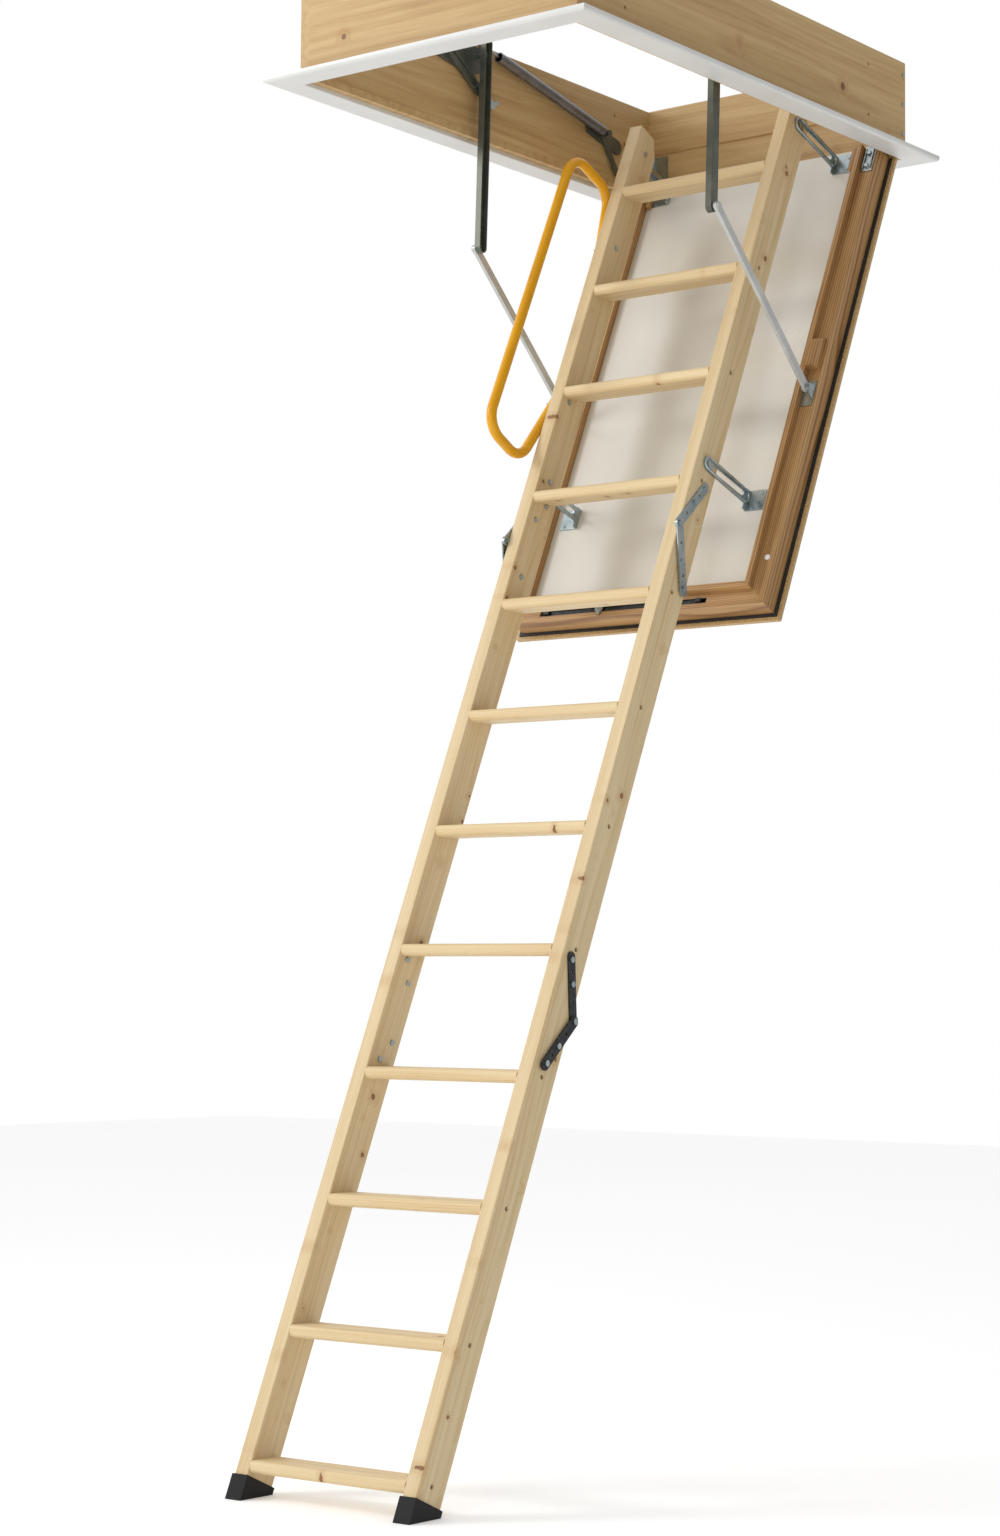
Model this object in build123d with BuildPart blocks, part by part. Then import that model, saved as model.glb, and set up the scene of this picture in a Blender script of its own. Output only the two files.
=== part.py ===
from build123d import *
import math
import os

# Folding timber loft ladder with an insulated hatch, in its opened position, in millimetres.
# Origin: centre of the ceiling opening at the underside of the ceiling. +Z is up, +Y is the way
# a climber faces, so the hatch hinges at the +Y end and the feet stand towards -Y.
#
# Most pieces are drawn in a side view. Frame pieces use (y, z). Hatch and ladder pieces use
# (s, h): s runs up the ladder from the hatch hinge, and h stands off it towards the climber.

os.makedirs("parts", exist_ok=True)

# ---- driving dimensions ----
opening_length = 1170  # clear length inside the frame
opening_width = 650
board_thick = 20
board_height = 205
lipping_height = 12
lipping_proud = 2
rebate = 3  # the lippings sit this deep in the trim
trim_width = 60
trim_thick = 12
trim_inner_x = 340
trim_inner_y = 598

ladder_angle = 66.2  # from horizontal
pivot_y = 575  # hatch hinge line
pivot_z = 5
floor_z = -2765

skin_low = -17  # heights h of the hatch layers
skin_high = -9
panel_low = 34
rail_step = 38
rail_high = 56
skin_end = -1170
skin_rear = -6
skin_half = 337
rail_out_x = 321
rail_step_x = 288
rail_in_x = 276
rail_front = -1155
rail_rear = -14
rail_step_width = rail_out_x - rail_step_x
rail_width = rail_out_x - rail_in_x

inner_half = 185  # half the clear width between stringers
stringer_thick = 32
outer_x = inner_half + stringer_thick
back_h = 160
front_h = 236
tread_pitch = 262.5
last_tread_s = -3082
tread_thick = 24
tread_depth = 76
treads_per_section = 4

upper_fold = (-1078, 240)  # fold hinge between sections 1 and 2, just in front
lower_fold = (-2133, 156)  # fold hinge between sections 2 and 3, just behind

rail_radius = 11
rail_wall = 2
handrail_x = -(outer_x + rail_radius + 1.5)
handrail_route = [(-330, 200), (-172, 228), (-172, 374), (-880, 388), (-890, 262), (-700, 204)]

strap_thick = 3
strap_gap = 0.3
strap_width = 22
pin_radius = 4
running_fit = 0.05

arm_pivot = (-63, 175)  # support arm pivots, in the frame's (y, z)
arm_elbow = (-78, -248)
arm_lug = (-650, 60)  # arm pivot on the hatch, in (s, h)
arm_top = 23  # how far the arm stands above its pivot, to the spring
spring_anchor = (397, 109)
hook_pivot = (-58, 100)
arm_x = (288, 302)
arm_web_x = 299.5
lower_arm_x = (304.5, 312.5)
lug_x = (314.5, 317.5)
bracket_x = (321, 325)
spring_x = 308.5

latch_x = -92
latch_s = -1138

lean = math.radians(ladder_angle)
up = (0, math.cos(lean), math.sin(lean))
front = (0, -math.sin(lean), math.cos(lean))


def side_view(x):
    """Frame side view at x: local axes are (y, z)."""
    return Plane(origin=(x, 0, 0), x_dir=(0, 1, 0), z_dir=(1, 0, 0))


def ladder_view(x):
    """Ladder side view at x: local axes are (s, h)."""
    return Plane(origin=(x, pivot_y, pivot_z), x_dir=up, z_dir=(1, 0, 0))


def hatch_plan(h):
    """Plan of the hatch at height h: local axes are (x, s)."""
    origin = (0, pivot_y + h * front[1], pivot_z + h * front[2])
    return Plane(origin=origin, x_dir=(1, 0, 0), z_dir=front)


def to_world(s, h):
    """The (y, z) of a ladder point."""
    return (pivot_y + s * up[1] + h * front[1], pivot_z + s * up[2] + h * front[2])


def save(piece, name):
    piece.part.label = name
    export_step(piece.part, f"parts/{name}.step")


def centre_of(a, b):
    return ((a[0] + b[0]) / 2, (a[1] + b[1]) / 2)


def span(a, b):
    return math.hypot(b[0] - a[0], b[1] - a[1])


def bearing(a, b):
    return math.degrees(math.atan2(b[1] - a[1], b[0] - a[0]))


def bar_between(a, b, width):
    """Add a round-ended bar between two points to the open sketch."""
    with Locations(centre_of(a, b)):
        SlotCenterToCenter(span(a, b), width, rotation=bearing(a, b))


def rectangle_to(low, high):
    """Add a rectangle between two opposite corners to the open sketch."""
    with Locations(centre_of(low, high)):
        Rectangle(high[0] - low[0], high[1] - low[1])


sides = (("left", -1), ("right", 1))


def low_x(sign, near, far):
    """The lower x of a slab whose distances from the middle are near to far."""
    return near if sign > 0 else -far


# ---- ceiling frame ----
half_length = opening_length / 2
half_width = opening_width / 2
frame_length = opening_length + 2 * board_thick
fixing_spots = [(y, z) for y in (-450, 450) for z in (55, 165)]  # joist fixing holes

for side, sign in sides:
    with BuildPart() as side_board:
        with BuildSketch(side_view(low_x(sign, half_width, half_width + board_thick))):
            rectangle_to((-frame_length / 2, lipping_height), (frame_length / 2, board_height))
            with Locations(*fixing_spots):
                Circle(3.5, mode=Mode.SUBTRACT)
        extrude(amount=board_thick)
        chamfer(side_board.edges().filter_by(Axis.Y).group_by(Axis.Z)[-1], 2)
    save(side_board, f"frame_board_{side}")

for end, sign in (("front", -1), ("rear", 1)):
    inner_y = sign * half_length
    outer_y = sign * (half_length + board_thick)
    with BuildPart() as end_board:
        with BuildSketch(side_view(-half_width)):
            rectangle_to(
                (min(inner_y, outer_y), lipping_height), (max(inner_y, outer_y), board_height)
            )
        extrude(amount=opening_width)
        chamfer(end_board.edges().filter_by(Axis.X).group_by(Axis.Z)[-1], 2)
        # the joint line of the two planks that the board is glued up from
        with BuildSketch(side_view(-half_width)):
            with Locations((inner_y, 98)):
                Rectangle(4, 4, rotation=45)
        extrude(amount=opening_width, mode=Mode.SUBTRACT)
    save(end_board, f"frame_board_{end}")

lip_x = half_width - lipping_proud
lip_y = half_length - lipping_proud
with BuildPart() as lippings:
    for sign in (-1, 1):
        with BuildSketch(Plane.XY.offset(-rebate)):
            with Locations((sign * (lip_x + half_width + board_thick) / 2, 0)):
                Rectangle(board_thick + lipping_proud, frame_length)
        extrude(amount=rebate + lipping_height)
        with BuildSketch(Plane.XY.offset(-rebate)):
            with Locations((0, sign * (lip_y + frame_length / 2) / 2)):
                Rectangle(2 * lip_x - 0.2, board_thick + lipping_proud)
        extrude(amount=rebate + lipping_height)
save(lippings, "frame_lippings")

trim_outer_x = trim_inner_x + trim_width
trim_outer_y = trim_inner_y + trim_width
trim_corners = {
    "right": [(trim_inner_x, -trim_inner_y), (trim_outer_x, -trim_outer_y),
              (trim_outer_x, trim_outer_y), (trim_inner_x, trim_inner_y)],
    "left": [(-trim_inner_x, -trim_inner_y), (-trim_inner_x, trim_inner_y),
             (-trim_outer_x, trim_outer_y), (-trim_outer_x, -trim_outer_y)],
    "front": [(-trim_inner_x, -trim_inner_y), (-trim_outer_x, -trim_outer_y),
              (trim_outer_x, -trim_outer_y), (trim_inner_x, -trim_inner_y)],
    "rear": [(-trim_inner_x, trim_inner_y), (trim_inner_x, trim_inner_y),
             (trim_outer_x, trim_outer_y), (-trim_outer_x, trim_outer_y)],
}
for side, corners in trim_corners.items():
    along = Axis.Y if side in ("left", "right") else Axis.X
    across = Axis.X if along == Axis.Y else Axis.Y
    outward = -1 if side in ("right", "rear") else 0
    with BuildPart() as trim:
        with BuildSketch(Plane.XY.offset(-trim_thick)):
            Polygon(*corners, align=None)
        extrude(amount=trim_thick)
        bottom = trim.edges().filter_by(along).group_by(Axis.Z)[0]
        fillet(bottom.sort_by(across)[outward], 7)
        bottom = trim.edges().filter_by(along).group_by(Axis.Z)[0]
        fillet(bottom.sort_by(across)[-1 - outward], 2.5)
        with BuildSketch(Plane.XY.offset(-rebate)):
            Rectangle(opening_width + 2 * board_thick, frame_length)
        extrude(amount=rebate, mode=Mode.SUBTRACT)
    save(trim, f"trim_{side}")

with BuildPart() as frame_screws:
    for sign in (-1, 1):
        with BuildSketch(Plane.YZ.offset(sign * (half_width + board_thick))):
            with Locations(*[(y, z) for y in (-595, 595) for z in (45, 110, 175)]):
                Circle(4.5)
        extrude(amount=sign * 1.6)
save(frame_screws, "frame_screws")

# ---- support arm brackets, braces and springs on the frame ----
brace_top = (-178, 176)
with BuildPart() as arm_brackets:
    for sign in (-1, 1):
        with BuildSketch(side_view(low_x(sign, *bracket_x))):
            with BuildLine():
                Polyline((-215, 196), (-30, 196), (-30, 150), (-90, 128), (-215, 150), close=True)
            make_face()
            fillet(vertices(), 8)
        extrude(amount=bracket_x[1] - bracket_x[0])
        with BuildSketch(side_view(low_x(sign, 314, bracket_x[0]))):
            bar_between(brace_top, hook_pivot, 22)
            with Locations(hook_pivot):
                Circle(pin_radius + running_fit, mode=Mode.SUBTRACT)
        extrude(amount=bracket_x[0] - 314)
        # the pressed channel along the brace
        with BuildSketch(side_view(low_x(sign, 313.9, 317.5))):
            bar_between(brace_top, (-80, 114), 15)
        extrude(amount=3.6, mode=Mode.SUBTRACT)
        with BuildSketch(side_view(low_x(sign, *bracket_x))):
            with Locations(arm_pivot):
                Circle(pin_radius + 1 + running_fit)
        extrude(amount=bracket_x[1] - bracket_x[0], mode=Mode.SUBTRACT)
save(arm_brackets, "arm_brackets")

with BuildPart() as arm_pivot_pins:
    for sign in (-1, 1):
        with BuildSketch(side_view(low_x(sign, arm_web_x - 2, 324.5))):
            with Locations(arm_pivot):
                Circle(pin_radius + 1)
        extrude(amount=324.5 - arm_web_x + 2)
        with BuildSketch(side_view(low_x(sign, arm_web_x - 3, arm_web_x))):
            with Locations(arm_pivot):
                Circle(8)
        extrude(amount=3)
save(arm_pivot_pins, "arm_pivot_pins")

# hook levers that catch the arms when the hatch is shut
for side, sign in sides:
    with BuildPart() as stay_hook:
        with BuildSketch(side_view(low_x(sign, 309, 313.5))):
            bar_between(hook_pivot, (-22, 76), 18)
            bar_between((-22, 76), (-4, 86), 8)
            with Locations((-34, 92)):
                Circle(3.2, mode=Mode.SUBTRACT)
        extrude(amount=4.5)
        with BuildSketch(side_view(low_x(sign, 309, 320.6))):
            with Locations(hook_pivot):
                Circle(pin_radius)
        extrude(amount=11.6)
    save(stay_hook, f"stay_hook_{side}")

spring_top = (arm_pivot[0], arm_pivot[1] + arm_top)
spring_angle = math.atan2(spring_top[1] - spring_anchor[1], spring_top[0] - spring_anchor[0])


def along_spring(distance):
    """A point on the spring's line, that far from its anchor."""
    return (
        spring_anchor[0] + distance * math.cos(spring_angle),
        spring_anchor[1] + distance * math.sin(spring_angle),
    )


def spring_plane(sign, distance):
    y, z = along_spring(distance)
    direction = (0, math.cos(spring_angle), math.sin(spring_angle))
    return Plane(origin=(sign * spring_x, y, z), x_dir=(1, 0, 0), z_dir=direction)


tube_radius = 11.5
spring_length = span(spring_anchor, spring_top)
tube_length = spring_length - 62
with BuildPart() as spring_tubes:
    for sign in (-1, 1):
        with BuildSketch(spring_plane(sign, 18)):
            Circle(tube_radius)
            Circle(tube_radius - 2, mode=Mode.SUBTRACT)
        extrude(amount=tube_length - 18)
        with BuildSketch(spring_plane(sign, 15)):
            Circle(tube_radius)
        extrude(amount=4)
        with BuildSketch(side_view(low_x(sign, spring_x - 2.5, spring_x + 2.5))):
            bar_between(spring_anchor, along_spring(20), 16)
            with Locations(spring_anchor):
                Circle(pin_radius + running_fit, mode=Mode.SUBTRACT)
        extrude(amount=5)
save(spring_tubes, "spring_tubes")

with BuildPart() as spring_rods:
    for sign in (-1, 1):
        with BuildSketch(spring_plane(sign, tube_length - 90)):
            Circle(3)
        extrude(amount=spring_length - tube_length + 84)
        with BuildSketch(spring_plane(sign, tube_length - 90)):
            Circle(tube_radius - 2.1)
        extrude(amount=6)
        with BuildSketch(side_view(low_x(sign, spring_x - 2.5, spring_x + 2.5))):
            with Locations(spring_top):
                Circle(8)
        extrude(amount=5)
save(spring_rods, "spring_rods")

with BuildPart() as spring_brackets:
    for sign in (-1, 1):
        with BuildSketch(side_view(low_x(sign, *bracket_x))):
            bar_between((352, 116), (455, 92), 34)
        extrude(amount=bracket_x[1] - bracket_x[0])
        with BuildSketch(side_view(low_x(sign, 299, bracket_x[0]))):
            with Locations(spring_anchor):
                Circle(pin_radius)
        extrude(amount=bracket_x[0] - 299)
        with BuildSketch(side_view(low_x(sign, 298, 301))):
            with Locations(spring_anchor):
                Circle(7)
        extrude(amount=3)
        with BuildSketch(side_view(low_x(sign, 317, bracket_x[0]))):
            bar_between((398, 102), (452, 30), 14)
        extrude(amount=bracket_x[0] - 317)
save(spring_brackets, "spring_brackets")

# ---- support arms ----
# the linkage is opened at the elbow: the upper arm's pin stops short of the lower arm
stud_end = 305.5
elbow_end = 304
rivet_end = 315.5
arm_end = to_world(*arm_lug)
for side, sign in sides:
    arm_low = low_x(sign, *arm_x)
    web_low = low_x(sign, arm_web_x, arm_x[1])
    with BuildPart() as upper_arm:
        with BuildSketch(side_view(arm_low)):
            bar_between(spring_top, arm_elbow, 24)
        extrude(amount=arm_x[1] - arm_x[0])
        # the open side of the channel faces the climber
        with BuildSketch(side_view(low_x(sign, arm_x[0], arm_web_x))):
            bar_between(spring_top, arm_elbow, 19.5)
        extrude(amount=arm_web_x - arm_x[0], mode=Mode.SUBTRACT)
        with BuildSketch(side_view(web_low)):
            with Locations(arm_pivot):
                Circle(pin_radius + 1 + running_fit)
            with Locations(arm_elbow):
                Circle(pin_radius + running_fit)
        extrude(amount=arm_x[1] - arm_web_x, mode=Mode.SUBTRACT)
        # the spring's stud at the top end stops short of the rod's eye; then the catch rivets
        with BuildSketch(side_view(low_x(sign, arm_web_x, stud_end))):
            with Locations(spring_top):
                Circle(pin_radius)
        extrude(amount=stud_end - arm_web_x)
        with BuildSketch(side_view(low_x(sign, arm_web_x - 2, arm_web_x))):
            with Locations((-65, 118), (-67, 72), (-70, 20)):
                Circle(4)
        extrude(amount=2)
    save(upper_arm, f"upper_arm_{side}")

    with BuildPart() as lower_arm:
        with BuildSketch(side_view(low_x(sign, *lower_arm_x))):
            bar_between(arm_elbow, arm_end, 17)
            with Locations(arm_end):
                Circle(pin_radius + running_fit, mode=Mode.SUBTRACT)
        extrude(amount=lower_arm_x[1] - lower_arm_x[0])
        with BuildSketch(side_view(low_x(sign, lower_arm_x[1], rivet_end))):
            with Locations(arm_elbow):
                Circle(7)
        extrude(amount=rivet_end - lower_arm_x[1])
    save(lower_arm, f"lower_arm_{side}")

with BuildPart() as elbow_pins:
    for sign in (-1, 1):
        with BuildSketch(side_view(low_x(sign, arm_web_x - 3, elbow_end))):
            with Locations(arm_elbow):
                Circle(pin_radius)
        extrude(amount=elbow_end - arm_web_x + 3)
        with BuildSketch(side_view(low_x(sign, arm_web_x - 3.5, arm_web_x))):
            with Locations(arm_elbow):
                Circle(7.5)
        extrude(amount=3.5)
save(elbow_pins, "elbow_pins")

# ---- hatch hinge ----
hinge_ear_x = (309, 313)
leaf_ear_x = (303, 307)
hinge_eye = 7.8
with BuildPart() as hinge_plates:
    for sign in (-1, 1):
        with BuildSketch(side_view(low_x(sign, *hinge_ear_x))):
            with Locations((pivot_y, pivot_z)):
                Circle(hinge_eye)
            Polygon((pivot_y - hinge_eye, pivot_z), (582, pivot_z - 4), (582, 12.5), (585, 12.5),
                    (585, 92), (572, 92), (567.5, 30), align=None)
            with Locations((pivot_y, pivot_z)):
                Circle(pin_radius + running_fit, mode=Mode.SUBTRACT)
        extrude(amount=4)
        with BuildSketch(side_view(low_x(sign, 270, 313))):
            rectangle_to((582, 22), (585, 92))
        extrude(amount=43)
save(hinge_plates, "hatch_hinge_plates")

with BuildPart() as hinge_leaves:
    for sign in (-1, 1):
        with BuildSketch(ladder_view(low_x(sign, *leaf_ear_x))):
            Circle(hinge_eye)
            Polygon((-14, -4), (-2, -7), (5, 4), (-4, 28), (-14, 34), align=None)
            Circle(pin_radius + running_fit, mode=Mode.SUBTRACT)
        extrude(amount=4)
        with BuildSketch(ladder_view(low_x(sign, 290, 318))):
            rectangle_to((rail_rear, -2), (rail_rear + 3, rail_step + 3))
            rectangle_to((-78, rail_step), (rail_rear + 1, rail_step + 3))
        extrude(amount=28)
save(hinge_leaves, "hatch_hinge_leaves")

with BuildPart() as hatch_hinge_pins:
    for sign in (-1, 1):
        with BuildSketch(side_view(low_x(sign, 298, 316))):
            with Locations((pivot_y, pivot_z)):
                Circle(pin_radius)
        extrude(amount=18)
        with BuildSketch(side_view(low_x(sign, 296, 299))):
            with Locations((pivot_y, pivot_z)):
                Circle(6.5)
        extrude(amount=3)
save(hatch_hinge_pins, "hatch_hinge_pins")

# ---- hatch ----
spindle_hole = 4.5
with BuildPart() as outer_panel:
    with BuildSketch(hatch_plan(skin_low)):
        rectangle_to((-skin_half, skin_end), (skin_half, skin_rear))
        fillet(vertices(), 3)
        with Locations((latch_x, latch_s)):
            Circle(spindle_hole, mode=Mode.SUBTRACT)
    extrude(amount=skin_high - skin_low)
save(outer_panel, "hatch_outer_panel")

with BuildPart() as insulation:
    with BuildSketch(hatch_plan(skin_high)):
        rectangle_to((-rail_in_x, rail_front + rail_width), (rail_in_x, rail_rear - rail_width))
    extrude(amount=panel_low - skin_high)
save(insulation, "hatch_insulation")

with BuildPart() as inner_panel:
    with BuildSketch(hatch_plan(panel_low)):
        rectangle_to((-rail_in_x, rail_front + rail_width), (rail_in_x, rail_rear))
    extrude(amount=rail_step - panel_low)
save(inner_panel, "hatch_inner_panel")


def rail_outline(side, inset):
    """Plan of one rail, from inset in to the rails' inner faces: mitred at the front corners."""
    x, s = rail_out_x - inset, rail_front + inset
    a, b = rail_in_x, rail_front + rail_width
    return {
        "left": [(-x, s), (-a, b), (-a, rail_rear), (-x, rail_rear)],
        "right": [(x, s), (x, rail_rear), (a, rail_rear), (a, b)],
        "front": [(-x, s), (x, s), (a, b), (-a, b)],
        "rear": [(-a, rail_rear - rail_width), (a, rail_rear - rail_width), (a, rail_rear), (-a, rail_rear)],
    }[side]


latch_slot = [(-250, latch_s - 6), (178, latch_s + 6)]
stop_block = (-591, -513)  # s of the wooden block that the ladder's side rests against
for side in ("left", "right", "front", "rear"):
    with BuildPart() as rail:
        with BuildSketch(hatch_plan(skin_high)):
            Polygon(*rail_outline(side, 0), align=None)
        # the rear rail is under the inner panel, the others stand up round it in two steps
        extrude(amount=(panel_low if side == "rear" else rail_step) - skin_high)
        if side != "rear":
            with BuildSketch(hatch_plan(rail_step)):
                Polygon(*rail_outline(side, rail_step_width), align=None)
            extrude(amount=rail_high - rail_step)
        if side in ("left", "right"):
            with BuildSketch(ladder_view(low_x(-1 if side == "left" else 1, rail_step_x, 312))):
                rectangle_to((stop_block[0], rail_step), (stop_block[1], rail_high + 6))
                chamfer(vertices().group_by(Axis.X)[-1].sort_by(Axis.Y)[-1], 20, 14)
            extrude(amount=312 - rail_step_x)
        if side == "front":
            with BuildSketch(hatch_plan(rail_step - 10)):
                rectangle_to(*latch_slot)
            extrude(amount=10, mode=Mode.SUBTRACT)
            with BuildSketch(hatch_plan(skin_high)):
                with Locations((latch_x, latch_s)):
                    Circle(spindle_hole)
            extrude(amount=rail_step, mode=Mode.SUBTRACT)
    save(rail, f"hatch_rail_{side}")

# the seal runs round three sides of the rim, in from the panel's edge
seal_edge = 8
with BuildPart() as seal:
    with BuildSketch(hatch_plan(skin_high)):
        rectangle_to((seal_edge - skin_half, skin_end + seal_edge), (skin_half - seal_edge, rail_rear))
        with Locations((0, (rail_front + rail_rear) / 2)):
            Rectangle(2 * rail_out_x + 2, rail_rear - rail_front + 2, mode=Mode.SUBTRACT)
    extrude(amount=3.8)
save(seal, "hatch_seal")

with BuildPart() as arm_lugs:
    for sign in (-1, 1):
        with BuildSketch(ladder_view(low_x(sign, *lug_x))):
            with Locations(arm_lug):
                Circle(10)
            Polygon((arm_lug[0] - 20, rail_step), (arm_lug[0] + 20, rail_step),
                    (arm_lug[0] + 9.5, arm_lug[1] + 2), (arm_lug[0] - 9.5, arm_lug[1] + 2),
                    align=None)
        extrude(amount=lug_x[1] - lug_x[0])
        with BuildSketch(hatch_plan(rail_step)):
            with Locations((sign * 303, arm_lug[0])):
                RectangleRounded(29, 62, 5)
        extrude(amount=3)
        with BuildSketch(ladder_view(low_x(sign, 301, 320.5))):
            with Locations(arm_lug):
                Circle(pin_radius)
        extrude(amount=19.5)
        for near, far in ((301, 304), (317.4, 320.5)):
            with BuildSketch(ladder_view(low_x(sign, near, far))):
                with Locations(arm_lug):
                    Circle(7)
            extrude(amount=far - near)
save(arm_lugs, "arm_lugs")

# ---- latch ----
slot_floor = rail_step - 10
with BuildPart() as latch_case:
    with BuildSketch(hatch_plan(slot_floor)):
        rectangle_to(*latch_slot)
        with Locations((latch_x, latch_s)):
            Circle(spindle_hole, mode=Mode.SUBTRACT)
    extrude(amount=1)
    for edge in (latch_slot[0][1], latch_slot[1][1] - 1):
        with BuildSketch(hatch_plan(slot_floor)):
            rectangle_to((latch_slot[0][0], edge), (latch_slot[1][0], edge + 1))
        extrude(amount=10)
save(latch_case, "latch_case")

cam_radius = 10
bolt_travel = 10
for side, sign in sides:
    far = latch_slot[0][0] + 2 + bolt_travel if sign < 0 else latch_slot[1][0] - 2 - bolt_travel
    near = latch_x + sign * (cam_radius + 1)
    with BuildPart() as bolt:
        with BuildSketch(hatch_plan(slot_floor + 2)):
            rectangle_to((min(near, far), latch_s - 4), (max(near, far), latch_s + 4))
        extrude(amount=6.5)
        with BuildSketch(hatch_plan(slot_floor + 2)):
            with Locations((far - sign * 7, latch_s)):
                Rectangle(14, 8)
        extrude(amount=13)
    save(bolt, f"latch_bolt_{side}")

with BuildPart() as latch_cam:
    with BuildSketch(hatch_plan(skin_low)):
        with Locations((latch_x, latch_s)):
            Circle(4)
            RegularPolygon(2.4, 6, mode=Mode.SUBTRACT)
    extrude(amount=slot_floor + 2 - skin_low)
    with BuildSketch(hatch_plan(slot_floor + 1.5)):
        with Locations((latch_x, latch_s)):
            Circle(4)
    extrude(amount=rail_step - slot_floor - 1)
    with BuildSketch(hatch_plan(rail_step + 0.4)):
        with Locations((latch_x, latch_s)):
            Circle(cam_radius)
            Rectangle(8, 28)
    extrude(amount=4)
save(latch_cam, "latch_cam")

with BuildPart() as keeper:
    with BuildSketch(side_view(latch_x - 35)):
        rectangle_to((-half_length, 62), (3 - half_length, 100))
        rectangle_to((-half_length, 62), (22 - half_length, 65))
    extrude(amount=70)
save(keeper, "latch_keeper")

# ---- brackets that stand the ladder off the hatch ----
stand_bolt_h = 198
bracket_feet = [(-48, rail_step, 44), (-905, rail_step, 44)]  # s, height of its base, width
bracket_bolts = [(s - 6, stand_bolt_h) for s, base, width in bracket_feet]
base_thick = 3
base_length = 48
bolt_radius = 3
with BuildPart() as ladder_brackets:
    for sign in (-1, 1):
        for s, base, width in bracket_feet:
            foot = (s + 5, base + 17)
            head = (s - 6, stand_bolt_h)
            with BuildSketch(ladder_view(low_x(sign, outer_x, outer_x + 3))):
                bar_between(foot, head, 32)
                rectangle_to((s - base_length / 2, base), (s + base_length / 2, base + 14))
                # the loop is open between its two legs
                slot_ends = (foot[0], foot[1] + 12), (head[0], head[1] - 24)
                with Locations(centre_of(*slot_ends)):
                    SlotCenterToCenter(span(*slot_ends), 13, rotation=bearing(*slot_ends),
                                       mode=Mode.SUBTRACT)
                with Locations(head):
                    Circle(bolt_radius, mode=Mode.SUBTRACT)
            extrude(amount=3)
            with BuildSketch(hatch_plan(base)):
                with Locations((sign * (outer_x + width / 2), s)):
                    Rectangle(width, base_length)
            extrude(amount=base_thick)
save(ladder_brackets, "ladder_brackets")

# ---- screws on the hatch ----
with BuildPart() as hatch_screws:
    for sign in (-1, 1):
        with BuildSketch(hatch_plan(rail_step + base_thick)):
            with Locations(*[(sign * 303, arm_lug[0] + step) for step in (-23, 23)]):
                Circle(4)
            with Locations(*[(sign * 304, s) for s in (-32, -65)]):
                Circle(4)
        extrude(amount=1.8)
        for s, base, width in bracket_feet:
            with BuildSketch(hatch_plan(base + base_thick)):
                with Locations(*[(sign * (outer_x + width - 9), s + step) for step in (-16, 16)]):
                    Circle(4)
            extrude(amount=1.8)
save(hatch_screws, "hatch_screws")

# ---- ladder sections ----
sole_thick = 6


def s_at(level, h):
    """How far along the ladder a line at height h off it meets that level."""
    return (level - pivot_z - h * front[2]) / up[2]


# the lowest stringers' ends are cut level, and stand in the feet
level_end = [(s_at(floor_z + sole_thick, h), h) for h in (back_h, front_h)]
upper_lower_ends = {1: (-2, upper_fold[0]), 2: (upper_fold[0], lower_fold[0]),
                    3: (lower_fold[0], level_end[0][0])}
screw_radius = 2.2
head_radius = 5
recess_depth = 8
nose_back = 6  # the treads' noses stand back, so that the folded sections nest


def tread_corner(index):
    """The (y, z) of a tread's bottom front corner, treads counted from the top."""
    y, z = to_world(last_tread_s + (12 - index) * tread_pitch, front_h)
    return (y + nose_back, z)


def treads_of(section):
    first = (section - 1) * treads_per_section + 1
    return range(first, first + treads_per_section)


def tread_screw(index):
    """The (y, z) of the screw into the end of a tread."""
    y, z = tread_corner(index)
    return (y + tread_depth / 2, z + tread_thick / 2)


# bolts through the stringers as (s, h): straps, brackets and the handrail
fold_bolts = {
    "upper_top": [(-1010, 208), (-966, 188)],
    "upper_bottom": [(-1146, 202), (-1194, 175)],
    "lower_top": [(-2070, 188), (-2028, 209)],
    "lower_bottom": [(-2196, 185), (-2240, 206)],
}
handrail_bolts = [(-312, 203), (-718, 209)]
section_bolts = {
    1: fold_bolts["upper_top"] + bracket_bolts,
    2: fold_bolts["upper_bottom"] + fold_bolts["lower_top"],
    3: fold_bolts["lower_bottom"],
}

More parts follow.
